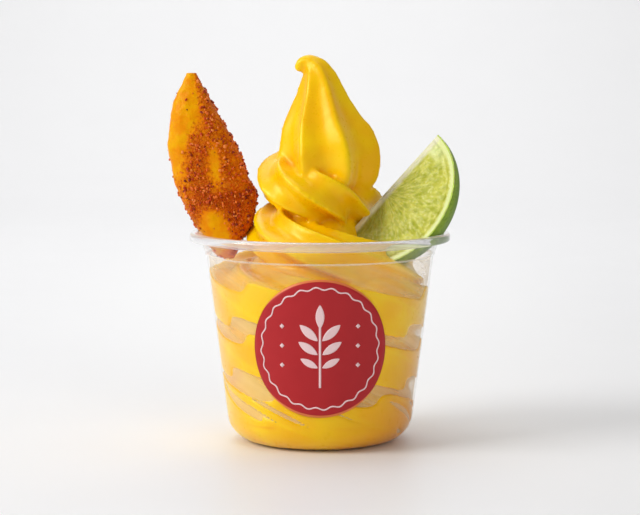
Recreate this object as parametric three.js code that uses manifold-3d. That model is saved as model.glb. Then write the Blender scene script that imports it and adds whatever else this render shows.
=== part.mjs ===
// A mangonada cup: mango soft serve piped into a clear dessert cup, with a chilli-dusted
// mango wedge, a lime wedge and a round sticker. Millimetres, +Z up, +X to the right of the
// front, the front facing -Y. The origin is the middle of the cup's flat base.
import * as THREE from "three";
import { mergeVertices } from "three/addons/utils/BufferGeometryUtils.js";
import Module from "manifold-3d";

const wasm = await Module();
wasm.setup();

const TURN = 2 * Math.PI;
const UP = new THREE.Vector3(0, 0, 1);
const { smoothstep, lerp, degToRad } = THREE.MathUtils;

// Clearance kept between pieces that touch.
const GAP = 0.3;

// Cup: a thin clear wall that flares from a rounded base to a shoulder, a collar and a rim.
const CUP_HEIGHT = 76.7;
const WALL = 0.8;
const BASE_RADIUS = 33; // where the wall's straight line would meet the table
const WALL_SLOPE = 0.123;
const CORNER_RADIUS = 10.5;
const SHOULDER_Z = 68.3;
const SHOULDER_STEP = 0.5;
const COLLAR_RADIUS = 43.3;
const RIM_RADIUS = 47.5;
const RIM_DEPTH = 3.1;
const CUP_SIDES = 40;
const CORNER_STEPS = 5;

// Soft serve: a fluted rope coiled downwards, counterclockwise seen from above. A level of
// the rope is told by its turns below the cone.
const CONE_FLUTES = 7;
const ROPE_FLUTES = 6;
const FLUTE_DEPTH = 0.19;
const FLUTE_ROUNDING = 0.22;
const POINTS_PER_FLUTE = 4;
const ROPE_HALF_WIDTH = 13.8;
const ROPE_HALF_HEIGHT = 10.6;
const ROPE_TOP_Z = 104.6;
const COIL_PITCH = 18.2;
const PITCH_GROWTH = 0.14;
const FREE_COIL_RADIUS = 24;
const FREE_COIL_SPREAD = 2;
const LIME_DENT = { turns: 0.9, spread: 0.075, depth: 4 }; // where the lime pushes a coil in
const RIM_SAG = { turns: 2, spread: 0.3, depth: 3 }; // where a coil drops below the rim
const LEAN = 3; // of the pressed coils, down to the left
const PRESS = 2.2; // how far a coil's crest would reach past the wall that flattens it
const ROPE_PHASE = degToRad(-21);
const SLOW_TWIST = 0.37; // turns of the flutes for each turn of the coil, and those
const FAST_TWIST = 1.35; // that the free coils add
const ROPE_START = 0.08;
const ROPE_END = 6.08;
const ROPE_STEPS_PER_TURN = 20;
const ROPE_PIECE = 10; // steps in one piece of the rope, half a turn

// The last squeeze of the nozzle: a fluted cone with a curled tip. Each station is the
// middle (x, z) and the radius of the cone there.
const CONE_STATIONS = [
  { x: 3.2, z: 92.3, r: 13.5 },
  { x: 3.7, z: 97.3, r: 18.4 },
  { x: 3.6, z: 102.8, r: 19.6 },
  { x: 2.9, z: 108.3, r: 18.9 },
  { x: 1.6, z: 114.8, r: 16.2 },
  { x: 0.9, z: 121.3, r: 12.7 },
  { x: 0.4, z: 127.3, r: 9.5 },
  { x: -0.5, z: 132.6, r: 7.2 },
  { x: -2, z: 136.2, r: 5 },
  { x: -4.4, z: 138.3, r: 2.8 },
  { x: -6.6, z: 137.9, r: 1.9 },
  { x: -7.7, z: 136.2, r: 1.5 },
  { x: -7.5, z: 134.9, r: 1.2 },
];
const CONE_STEPS = 20;
const CONE_TWIST = degToRad(-4);
const CONE_PHASE = degToRad(-31);

// Mango wedge: a spear leaning out over the rim on the left. Each station is its middle
// (x, z) and half its width.
const MANGO_STATIONS = [
  { x: -34.4, z: 66.6, r: 3.2 },
  { x: -35.4, z: 72, r: 6 },
  { x: -36.7, z: 79, r: 9.9 },
  { x: -37.7, z: 88.6, r: 13.4 },
  { x: -39.9, z: 97, r: 13.9 },
  { x: -43, z: 107.5, r: 12.8 },
  { x: -45.1, z: 117.3, r: 9.6 },
  { x: -46.6, z: 127, r: 5.6 },
  { x: -46.3, z: 134, r: 1.3 },
];
const MANGO_Y = 2.5; // of its middle, just behind the cup's axis
const MANGO_DEPTH = 12.5;
const MANGO_SIDES = 16;
const MANGO_STEPS = 14;
const GRAINS = 44;
const GRAIN_SIZE = { least: 0.55, most: 1.15 };

// Lime wedge: one sixth of a lime, its core edge falling to the left, its rind to the right.
const LIME_CENTRE = new THREE.Vector3(23.4, -7, 90.9);
const LIME_HALF_LENGTH = 28.7;
const LIME_RADIUS = 25.6;
const LIME_CORE_TILT = degToRad(41.9); // of the core edge from upright, its top to the right
const LIME_ANGLE = degToRad(62);
const LIME_FACE_TURN = degToRad(30); // of the front cut face towards the front

// Round sticker on the front of the wall.
const LABEL_RADIUS = 24.8;
const LABEL_THICKNESS = 0.3;
const LABEL_Z = 38.6;
const LABEL_SIDES = 32;
const LABEL_RINGS = 3;

// A seeded source of numbers from 0 to 1.
function seeded(seed) {
  let state = seed;
  return () => {
    state = (state + 0x6d2b79f5) | 0;
    let t = Math.imul(state ^ (state >>> 15), 1 | state);
    t = (t + Math.imul(t ^ (t >>> 7), 61 | t)) ^ t;
    return ((t ^ (t >>> 14)) >>> 0) / 4294967296;
  };
}

// The vertices of a geometry merged, without the slivers that poles and seams leave.
function welded(geometry) {
  const bare = geometry.clone();
  bare.deleteAttribute("normal");
  bare.deleteAttribute("uv");
  const merged = mergeVertices(bare, 1e-4);
  const faces = [];
  for (let i = 0; i < merged.index.count; i += 3) {
    const [a, b, c] = [0, 1, 2].map((k) => merged.index.getX(i + k));
    if (a !== b && b !== c && c !== a) {
      faces.push(a, b, c);
    }
  }
  merged.setIndex(faces);
  return merged;
}

function solidOf(geometry) {
  const merged = welded(geometry);
  return new wasm.Manifold(
    new wasm.Mesh({
      numProp: 3,
      vertProperties: new Float32Array(merged.attributes.position.array),
      triVerts: new Uint32Array(merged.index.array),
    }),
  );
}

function geometryOf(solid) {
  const mesh = solid.getMesh();
  const geometry = new THREE.BufferGeometry();
  geometry.setAttribute("position", new THREE.BufferAttribute(mesh.vertProperties, 3));
  geometry.setIndex(new THREE.BufferAttribute(mesh.triVerts, 1));
  geometry.computeVertexNormals();
  return geometry;
}

// The largest piece of a solid, without the loose scraps that a cut leaves.
function largest(solid) {
  return solid.decompose().sort((a, b) => b.volume() - a.volume())[0];
}

// Moves every vertex of a geometry to where place(vertex) says.
function reshaped(geometry, place) {
  const position = geometry.attributes.position;
  const vertex = new THREE.Vector3();
  for (let i = 0; i < position.count; i += 1) {
    const moved = place(vertex.fromBufferAttribute(position, i));
    position.setXYZ(i, moved.x, moved.y, moved.z);
  }
  return geometry;
}

// A closed skin round a path: place(angle, radius, along) gives each point, with angle round
// the section, radius 0 at the middle of an end and 1 on the skin, and along from 0 to 1.
// The quads are split along the way that a rising right-handed twist leans, which takes the
// angle backwards and turns the faces round.
function sweep(sides, steps, place) {
  const skin = new THREE.CylinderGeometry(1, 1, 1, sides, steps);
  const index = skin.index.array;
  for (let i = 0; i < index.length; i += 3) {
    [index[i], index[i + 1]] = [index[i + 1], index[i]];
  }
  return reshaped(skin, (v) =>
    place(-Math.atan2(v.x, v.z), Math.hypot(v.x, v.z), v.y + 0.5),
  );
}

// A profile of [radius, height] points turned round the upright axis.
function turned(profile, sides) {
  const points = profile.map(([r, z]) => new THREE.Vector2(r, z));
  return new THREE.LatheGeometry(points, sides).rotateX(Math.PI / 2);
}

// Radius of a star-shaped section of half-size 1: round crests and smooth valleys.
function fluted(angle, flutes, depth) {
  const swing = Math.hypot(Math.sin((flutes * angle) / 2), FLUTE_ROUNDING) - FLUTE_ROUNDING;
  const full = Math.hypot(1, FLUTE_ROUNDING) - FLUTE_ROUNDING;
  return 1 - depth * (swing / full);
}

// ---- Cup ----

const wallAngle = Math.atan(WALL_SLOPE);
const cornerX = BASE_RADIUS + CORNER_RADIUS * WALL_SLOPE - CORNER_RADIUS / Math.cos(wallAngle);

// Radius of the wall at a height, inset from its outside.
function wallRadius(z, inset = 0) {
  return BASE_RADIUS + z * WALL_SLOPE - inset / Math.cos(wallAngle);
}

// The base, corner and straight wall, inset from the outside, from the axis upwards.
function bodyProfile(inset) {
  const profile = [[0, inset]];
  for (let i = 0; i <= CORNER_STEPS; i += 1) {
    const angle = lerp(-Math.PI / 2, -wallAngle, i / CORNER_STEPS);
    const radius = CORNER_RADIUS - inset;
    profile.push([cornerX + radius * Math.cos(angle), CORNER_RADIUS + radius * Math.sin(angle)]);
  }
  profile.push([wallRadius(SHOULDER_Z, inset), SHOULDER_Z]);
  return profile;
}

function collarProfile(inset) {
  return [
    [wallRadius(SHOULDER_Z, inset) + SHOULDER_STEP, SHOULDER_Z + SHOULDER_STEP],
    [COLLAR_RADIUS - inset, CUP_HEIGHT - RIM_DEPTH],
  ];
}

// The cup, its wall and rim grown by some clearance.
function cup(grow) {
  const rimBase = CUP_HEIGHT - RIM_DEPTH;
  const outer = RIM_RADIUS + grow;
  const top = CUP_HEIGHT + grow;
  const rim = [
    [outer - 0.7, rimBase - grow],
    [outer, rimBase + 0.7],
    [outer, top - 0.9],
    [outer - 0.8, top],
    [outer - 2.2 - grow, top],
    [outer - 3.6 - 2 * grow, top - 0.9],
  ];
  const outside = [...bodyProfile(-grow), ...collarProfile(-grow)];
  const inside = [...bodyProfile(WALL + grow), ...collarProfile(WALL + grow)].reverse();
  return solidOf(turned([...outside, ...rim, ...inside], CUP_SIDES));
}

// The space inside the cup, clear of its wall, and the air above it.
function room() {
  const inset = WALL + GAP;
  const top = [
    [COLLAR_RADIUS - inset, 2 * CUP_HEIGHT],
    [0, 2 * CUP_HEIGHT],
  ];
  return solidOf(turned([...bodyProfile(inset), ...collarProfile(inset), ...top], CUP_SIDES));
}

// ---- Soft serve ----

// A local bump along the rope.
const bump = ({ turns, spread, depth }, at) => depth * Math.exp(-(((at - turns) / spread) ** 2));

function ropeZ(turns) {
  const lean = (LEAN / 2) * (1 - Math.cos(TURN * turns)) * smoothstep(turns, 2, 2.5);
  const fall = COIL_PITCH * turns + PITCH_GROWTH * turns * turns;
  return ROPE_TOP_Z - fall - lean - bump(RIM_SAG, turns);
}

// Outer radius of the coil: free above the rim, pressed against the wall low in the cup.
function coilRadius(turns) {
  const start = lerp(0.8, 1, smoothstep(turns, 0, 0.5));
  const spread = FREE_COIL_SPREAD * smoothstep(turns, 0.9, 1.6);
  const free = FREE_COIL_RADIUS * start + spread - bump(LIME_DENT, turns);
  const pressed = wallRadius(ropeZ(turns), WALL + GAP) + PRESS;
  return lerp(free, pressed, smoothstep(turns, 1.3, 2.4));
}

const ropeSize = (turns) => lerp(0.72, 1, smoothstep(turns, 0, 0.45));

const ropeMiddle = (turns) => coilRadius(turns) - ROPE_HALF_WIDTH * ropeSize(turns);

// Turn of the flutes round the rope: fast in the free coils and slow in the pressed ones.
const ropeTwist = (turns) =>
  ROPE_PHASE - TURN * (SLOW_TWIST * turns + FAST_TWIST * Math.tanh(turns / 1.8));

// One point of the rope: the points of a section turn with its flutes.
function ropePoint(turns, turn, radius) {
  const angle = turn + ropeTwist(turns);
  const bearing = TURN * turns;
  const outward = new THREE.Vector3(Math.cos(bearing), Math.sin(bearing), 0);
  const across = ROPE_HALF_WIDTH * ropeSize(turns);
  const high = ROPE_HALF_HEIGHT * ropeSize(turns);
  const oval = (across * high) / Math.hypot(high * Math.cos(angle), across * Math.sin(angle));
  const reach = radius * oval * fluted(turn, ROPE_FLUTES, FLUTE_DEPTH);
  return outward
    .multiplyScalar(ropeMiddle(turns) + reach * Math.cos(angle))
    .addScaledVector(UP, ropeZ(turns) + reach * Math.sin(angle));
}

function rope() {
  const pieces = [];
  const stepCount = Math.round((ROPE_END - ROPE_START) * ROPE_STEPS_PER_TURN);
  for (let first = 0; first < stepCount; first += ROPE_PIECE) {
    const last = Math.min(first + ROPE_PIECE, stepCount);
    const lower = ROPE_START + last / ROPE_STEPS_PER_TURN;
    const upper = ROPE_START + first / ROPE_STEPS_PER_TURN;
    const skin = sweep(ROPE_FLUTES * POINTS_PER_FLUTE, last - first, (angle, radius, along) =>
      ropePoint(lerp(lower, upper, along), angle, radius),
    );
    pieces.push(solidOf(skin));
  }
  return pieces;
}

// The filled middle that the coils are wound round.
function core() {
  const profile = [];
  for (let turns = ROPE_END; turns >= 0.5; turns -= 0.5) {
    profile.push([ropeMiddle(turns) + 1, ropeZ(turns)]);
  }
  const top = profile[profile.length - 1][1];
  const bottom = profile[0][1];
  return solidOf(turned([[0, bottom], ...profile, [0, top]], CUP_SIDES / 2));
}

// A smooth value between stations: the station list is read as a curve of (x, z, r).
function stationCurve(stations) {
  return new THREE.CatmullRomCurve3(
    stations.map(({ x, z, r }) => new THREE.Vector3(x, z, r)),
    false,
    "centripetal",
  );
}

// The cone, its sections square to its own path and its flutes fading towards the tip.
function cone() {
  const curve = stationCurve(CONE_STATIONS);
  return solidOf(
    sweep(CONE_FLUTES * POINTS_PER_FLUTE, CONE_STEPS, (turn, radius, along) => {
      const at = curve.getPoint(along);
      const way = curve.getTangent(along).setZ(0).normalize();
      const depth = FLUTE_DEPTH * lerp(0.9, 0.3, along);
      const angle = turn + CONE_PHASE + CONE_TWIST * along;
      const reach = radius * at.z * fluted(turn, CONE_FLUTES, depth);
      const side = reach * Math.sin(angle);
      return new THREE.Vector3(at.x + side * way.y, -reach * Math.cos(angle), at.y - side * way.x);
    }),
  );
}

// ---- Mango wedge ----

const mangoCurve = stationCurve(MANGO_STATIONS);

// One point of the wedge, grown by some clearance. Its left side is the round outside of
// the fruit and its right side is cut square, with a ridge towards the front.
function mangoPoint(angle, radius, along, grow) {
  const at = mangoCurve.getPoint(along);
  const end = Math.sign(along - 0.5) * smoothstep(Math.abs(along - 0.5), 0.45, 0.5);
  const across = Math.cos(angle);
  const front = Math.sin(angle);
  const [squareAcross, squareFront] = across > 0 ? [0.55, 0.7] : [1, 1];
  const thick = Math.min(MANGO_DEPTH / 2, 0.9 + 0.55 * at.z) + grow;
  const x = (at.z + grow) * Math.sign(across) * Math.abs(across) ** squareAcross;
  const y = thick * Math.sign(front) * Math.abs(front) ** squareFront;
  return new THREE.Vector3(at.x + radius * x, MANGO_Y - radius * y, at.y + end * grow);
}

// Sections run foot to tip with the angle measured from the right towards the front.
function mangoBody(grow) {
  return solidOf(
    sweep(MANGO_SIDES, MANGO_STEPS, (angle, radius, along) =>
      mangoPoint(-angle, radius, along, grow),
    ),
  );
}

// The wedge with coarse chilli grains half sunk in its front and right side, where the
// dusting is heaviest. Its foot is pressed in where it leans on the rim.
function mangoWedge() {
  const random = seeded(11);
  const grains = [];
  for (let i = 0; i < GRAINS; i += 1) {
    const along = lerp(0.2, 0.9, random());
    const angle = lerp(-0.15, 0.78, random()) * Math.PI;
    const radius = lerp(GRAIN_SIZE.least, GRAIN_SIZE.most, random());
    const grain = new THREE.IcosahedronGeometry(radius, 0);
    grain.scale(1, lerp(0.6, 1, random()), lerp(0.6, 1, random()));
    grain.rotateX(TURN * random()).rotateZ(TURN * random());
    const at = mangoPoint(angle, 1, along, 0);
    grain.translate(at.x, at.y, at.z);
    grains.push(solidOf(grain));
  }
  return largest(wasm.Manifold.union([mangoBody(0), ...grains]).subtract(cup(GAP)));
}

// ---- Lime wedge ----

// The whole lime cut by the two planes of the wedge, which meet on its core.
function limeWedge(grow) {
  const reach = 2 * LIME_RADIUS;
  const slice = new THREE.Shape();
  slice.moveTo(-grow / Math.sin(LIME_ANGLE / 2), 0);
  slice.lineTo(reach, (reach + grow) * Math.tan(LIME_ANGLE / 2));
  slice.lineTo(reach, -(reach + grow) * Math.tan(LIME_ANGLE / 2));
  slice.closePath();
  const depth = 3 * LIME_HALF_LENGTH;
  const prism = new THREE.ExtrudeGeometry(slice, { depth, bevelEnabled: false });
  prism.translate(0, 0, -depth / 2);
  const lime = new THREE.SphereGeometry(1, 48, 20).rotateX(Math.PI / 2);
  lime.scale(LIME_RADIUS + grow, LIME_RADIUS + grow, LIME_HALF_LENGTH + grow);
  const place = (geometry) => {
    geometry.rotateZ(LIME_ANGLE / 2 - LIME_FACE_TURN);
    geometry.rotateY(LIME_CORE_TILT);
    geometry.translate(LIME_CENTRE.x, LIME_CENTRE.y, LIME_CENTRE.z);
    return solidOf(geometry);
  };
  return place(lime).intersect(place(prism));
}

// ---- Label ----

// A thin disc bent to the wall's cone at the front.
function label() {
  const profile = [[0, 0]];
  for (let i = 1; i <= LABEL_RINGS; i += 1) {
    profile.push([(LABEL_RADIUS * i) / LABEL_RINGS, 0]);
  }
  const back = profile.map(([r]) => [r, LABEL_THICKNESS]).reverse();
  const disc = turned([...profile, ...back], LABEL_SIDES);
  return reshaped(disc, (v) => {
    const z = LABEL_Z + v.y;
    const radius = wallRadius(z, -(GAP + v.z));
    const bearing = -Math.PI / 2 + v.x / radius;
    return new THREE.Vector3(radius * Math.cos(bearing), radius * Math.sin(bearing), z);
  });
}

// ---- Assembly ----

const group = new THREE.Group();

function add(name, geometry, colour, roughness, extra = {}) {
  const material = new THREE.MeshStandardMaterial({
    color: colour,
    roughness,
    metalness: 0,
    ...extra,
  });
  const mesh = new THREE.Mesh(geometry, material);
  mesh.name = name;
  group.add(mesh);
}

const clearOfCup = room();
const wedges = [mangoBody(GAP), limeWedge(GAP)];
const softServe = wasm.Manifold.union([...rope(), core(), cone()])
  .intersect(clearOfCup)
  .subtract(wasm.Manifold.union(wedges));
const limeClearOfRim = limeWedge(0).subtract(cup(GAP));

add("cup", geometryOf(cup(0)), 0xeef2f2, 0.12, { transparent: true, opacity: 0.35 });
add("soft_serve", geometryOf(largest(softServe)), 0xf5c012, 0.4);
add("mango_wedge", geometryOf(mangoWedge()), 0xd9701c, 0.6);
add("lime_wedge", geometryOf(largest(limeClearOfRim)), 0xb9c552, 0.45);
add("label", label(), 0xbc2a33, 0.45);

export default group;
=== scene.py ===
"""Looks of the mangonada cup: a clear cup of mango soft serve with mango, lime and chilli.

Sizes are in millimetres in the part's own frame; a finished mesh is turned into metres.
"""

import logging
import math
import random
from collections.abc import Callable, Sequence
from dataclasses import dataclass, field
from enum import Enum

import bmesh
import bpy
from mathutils import Euler, Matrix, Vector, noise


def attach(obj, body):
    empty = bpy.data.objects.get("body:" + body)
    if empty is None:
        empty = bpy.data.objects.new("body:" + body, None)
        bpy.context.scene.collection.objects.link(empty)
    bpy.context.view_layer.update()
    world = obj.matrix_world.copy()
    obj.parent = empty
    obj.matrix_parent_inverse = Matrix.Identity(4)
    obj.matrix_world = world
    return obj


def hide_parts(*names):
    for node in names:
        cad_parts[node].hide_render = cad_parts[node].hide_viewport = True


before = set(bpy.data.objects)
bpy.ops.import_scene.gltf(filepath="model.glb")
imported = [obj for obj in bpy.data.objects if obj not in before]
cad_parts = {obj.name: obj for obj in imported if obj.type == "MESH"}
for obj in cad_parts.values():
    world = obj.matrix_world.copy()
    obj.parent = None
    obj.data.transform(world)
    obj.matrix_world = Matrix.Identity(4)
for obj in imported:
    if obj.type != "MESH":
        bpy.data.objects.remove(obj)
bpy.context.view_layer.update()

LOG = logging.getLogger("mangonada")
TURN = 2.0 * math.pi
HALF = math.pi
QUARTER = math.pi / 2.0
MM = 0.001
WELD = 1e-4
BODY = "root"
UP = Vector((0.0, 0.0, 1.0))
WHITE = (1.0, 1.0, 1.0)

Colour = tuple[float, float, float]


# ---- Numbers ----


def lerp(start: float, end: float, part: float) -> float:
    """Goes from start to end as part goes from 0 to 1."""
    return start + (end - start) * part


def smoothstep(value: float, low: float, high: float) -> float:
    """Rises smoothly from 0 at low to 1 at high."""
    part = min(max((value - low) / (high - low), 0.0), 1.0)
    return part * part * (3.0 - 2.0 * part)


def linear(red: float, green: float, blue: float) -> Colour:
    """Turns a screen colour from 0 to 255 into the linear one that shaders take."""
    parts = [channel / 255.0 for channel in (red, green, blue)]
    return tuple(c / 12.92 if c <= 0.04045 else ((c + 0.055) / 1.055) ** 2.4 for c in parts)


def polar(radius: float, angle: float) -> tuple[float, float]:
    """Turns a radius and an angle into two coordinates."""
    return radius * math.cos(angle), radius * math.sin(angle)


def arc(
    middle: tuple[float, float],
    radius: float,
    start: float,
    end: float,
    steps: int,
) -> list[tuple[float, float]]:
    """Gives points along an arc.

    Args:
        middle: Its centre, as (x, z).
        radius: Its radius.
        start: Angle of the first point, in radians.
        end: Angle of the last.
        steps: Number of steps from the one to the other.

    Returns:
        The points, each (x, z).
    """
    spokes = [polar(radius, lerp(start, end, step / steps)) for step in range(steps + 1)]
    return [(middle[0] + x, middle[1] + z) for x, z in spokes]


@dataclass(frozen=True)
class Station:
    """A place on a path: its middle (x, z) and the radius there."""

    x: float
    z: float
    radius: float


class StationCurve:
    """A smooth centripetal curve through stations, read from 0 to 1."""

    def __init__(self, stations: Sequence[Station]) -> None:
        """Keeps each station as one point of (x, z, radius)."""
        self.points = [Vector((s.x, s.z, s.radius)) for s in stations]

    def at(self, along: float) -> Vector:
        """Reads the curve.

        Args:
            along: Place on the curve, from 0 to 1.

        Returns:
            The point (x, z, radius) there.
        """
        last = len(self.points) - 1
        place = min(max(along, 0.0), 1.0) * last
        index = min(int(place), last - 1)
        part = place - index
        here, there = self.points[index], self.points[index + 1]
        before = self.points[index - 1] if index else here * 2.0 - there
        after = self.points[index + 2] if index + 2 <= last else there * 2.0 - here
        first = (here - before).length ** 0.5
        middle = (there - here).length ** 0.5
        final = (after - there).length ** 0.5
        leave = (here - before) / first - (there - before) / (first + middle) + (there - here) / middle
        arrive = (there - here) / middle - (after - here) / (middle + final) + (after - there) / final
        leave, arrive = leave * middle, arrive * middle
        square = (there - here) * 3.0 - leave * 2.0 - arrive
        cube = (here - there) * 2.0 + leave + arrive
        return here + leave * part + square * part**2 + cube * part**3

    def heading(self, along: float) -> tuple[float, float]:
        """Returns the unit direction (x, z) in which the curve runs at a place."""
        way = self.at(along + 1e-3) - self.at(along - 1e-3)
        size = math.hypot(way.x, way.y)
        return way.x / size, way.y / size


# ---- Meshes ----


def grid(columns: int, rows: int, place: Callable[[float, float], Vector]) -> bmesh.types.BMesh:
    """Makes an open sheet.

    Args:
        columns: Faces across.
        rows: Faces up.
        place: Gives a point for a part of the width and a part of the height, each 0 to 1.

    Returns:
        The sheet.
    """
    bm = bmesh.new()
    bmesh.ops.create_grid(bm, x_segments=columns, y_segments=rows, size=0.5)
    for vertex in bm.verts:
        vertex.co = place(vertex.co.x + 0.5, vertex.co.y + 0.5)
    return bm


def swept(sides: int, steps: int, place: Callable[[float, float], Vector]) -> bmesh.types.BMesh:
    """Makes a closed tube out of a sheet that is rolled up and capped.

    Args:
        sides: Faces round the tube.
        steps: Faces along the tube.
        place: Gives a point for a part of a turn and a part of the length, each 0 to 1.

    Returns:
        The tube.
    """
    bm = grid(sides, steps, place)
    bmesh.ops.remove_doubles(bm, verts=bm.verts, dist=WELD)
    rims = [edge for edge in bm.edges if edge.is_boundary]
    bmesh.ops.holes_fill(bm, edges=rims, sides=0)
    bmesh.ops.triangulate(bm, faces=[face for face in bm.faces if len(face.verts) > 4])
    bmesh.ops.recalc_face_normals(bm, faces=bm.faces)
    return bm


def turned(profile: Sequence[tuple[float, float]], sides: int, closed: bool = True) -> bmesh.types.BMesh:
    """Turns a profile round the upright axis.

    Args:
        profile: Points of (radius, height).
        sides: Steps in the full turn.
        closed: Whether the profile is a loop that bounds a solid wall.

    Returns:
        The turned shape, its doubles merged.
    """
    bm = bmesh.new()
    verts = [bm.verts.new((radius, 0.0, height)) for radius, height in profile]
    pairs = list(zip(verts, verts[1:]))
    if closed:
        pairs.append((verts[-1], verts[0]))
    line = verts + [bm.edges.new(pair) for pair in pairs]
    bmesh.ops.spin(bm, geom=line, axis=UP, angle=TURN, steps=sides, use_merge=True)
    bmesh.ops.remove_doubles(bm, verts=bm.verts, dist=WELD)
    bmesh.ops.recalc_face_normals(bm, faces=bm.faces)
    return bm


def joined(parts: Sequence[bmesh.types.BMesh]) -> bmesh.types.BMesh:
    """Puts several shapes into one and frees them."""
    whole = bmesh.new()
    for part in parts:
        mesh = bpy.data.meshes.new("part")
        part.to_mesh(mesh)
        part.free()
        whole.from_mesh(mesh)
        bpy.data.meshes.remove(mesh)
    return whole


def strewn(
    grain: bmesh.types.BMesh,
    places: Sequence[Matrix],
    name: str,
    values: Sequence[float],
) -> bmesh.types.BMesh:
    """Repeats a small shape at many places.

    Args:
        grain: The shape, which is freed.
        places: Where each copy goes.
        name: Name of a number that is stored on each copy.
        values: That number for each copy.

    Returns:
        All the copies in one shape.
    """
    corners = [vertex.co.copy() for vertex in grain.verts]
    faces = [[vertex.index for vertex in face.verts] for face in grain.faces]
    grain.free()
    size = len(corners)
    mesh = bpy.data.meshes.new("strewn")
    mesh.from_pydata(
        [place @ corner for place in places for corner in corners],
        [],
        [[index + size * copy for index in face] for copy in range(len(places)) for face in faces],
    )
    layer = mesh.attributes.new(name, "FLOAT", "POINT")
    layer.data.foreach_set("value", [value for value in values for _ in range(size)])
    bm = bmesh.new()
    bm.from_mesh(mesh)
    bpy.data.meshes.remove(mesh)
    return bm


def finished(
    bm: bmesh.types.BMesh,
    name: str,
    materials: Sequence[bpy.types.Material],
) -> bpy.types.Object:
    """Turns a shape in millimetres into an object in metres that rides on the part.

    Args:
        bm: The shape, which is freed.
        name: Name of the object.
        materials: Its materials, by the faces' material index.

    Returns:
        The object, at the origin and smoothly shaded.
    """
    bmesh.ops.scale(bm, vec=(MM,) * 3, verts=bm.verts)
    mesh = bpy.data.meshes.new(name)
    bm.to_mesh(mesh)
    bm.free()
    mesh.shade_smooth()
    for material in materials:
        mesh.materials.append(material)
    piece = bpy.data.objects.new(name, mesh)
    bpy.context.scene.collection.objects.link(piece)
    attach(piece, BODY)
    LOG.info("%s: %d faces", name, len(mesh.polygons))
    return piece


# ---- Shaders ----


def binary(operation: str, swapped: bool = False) -> Callable[["Num", "Num | float"], "Num"]:
    """Makes an operator of two values.

    Args:
        operation: The operation of the Math node.
        swapped: Whether the other value comes first.

    Returns:
        The operator, as a method.
    """

    def method(value: "Num", other: "Num | float") -> "Num":
        """Adds the node."""
        pair = (other, value) if swapped else (value, other)
        return value.math(operation, *pair)

    return method


class Num:
    """A value in a node tree, so that shader maths reads as Python."""

    def __init__(self, tree: bpy.types.NodeTree, socket: bpy.types.NodeSocket) -> None:
        """Wraps an output socket of a tree."""
        self.tree = tree
        self.socket = socket

    def math(self, operation: str, *values: "Num | float") -> "Num":
        """Adds a Math node.

        Args:
            operation: The node's operation.
            values: What its sockets take, in order.

        Returns:
            The node's value.
        """
        node = self.tree.nodes.new("ShaderNodeMath")
        node.operation = operation
        for slot, value in zip(node.inputs, values):
            if isinstance(value, Num):
                self.tree.links.new(value.socket, slot)
            else:
                slot.default_value = value
        return Num(self.tree, node.outputs[0])

    __add__ = binary("ADD")
    __radd__ = binary("ADD", swapped=True)
    __sub__ = binary("SUBTRACT")
    __rsub__ = binary("SUBTRACT", swapped=True)
    __mul__ = binary("MULTIPLY")
    __rmul__ = binary("MULTIPLY", swapped=True)
    __pow__ = binary("POWER")
    less = binary("LESS_THAN")
    at_least = binary("MAXIMUM")
    at_most = binary("MINIMUM")

    def sine(self) -> "Num":
        """Takes the sine of an angle in radians."""
        return self.math("SINE", self)

    def absolute(self) -> "Num":
        """Drops the sign."""
        return self.math("ABSOLUTE", self)

    def between(self, low: float, high: float) -> "Num":
        """Rises smoothly from 0 at low to 1 at high."""
        node = self.tree.nodes.new("ShaderNodeMapRange")
        node.interpolation_type = "SMOOTHSTEP"
        self.tree.links.new(self.socket, node.inputs["Value"])
        node.inputs["From Min"].default_value = low
        node.inputs["From Max"].default_value = high
        return Num(self.tree, node.outputs["Result"])


Socket = bpy.types.NodeSocket
Value = Num | Socket | float | Sequence[float]


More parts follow.
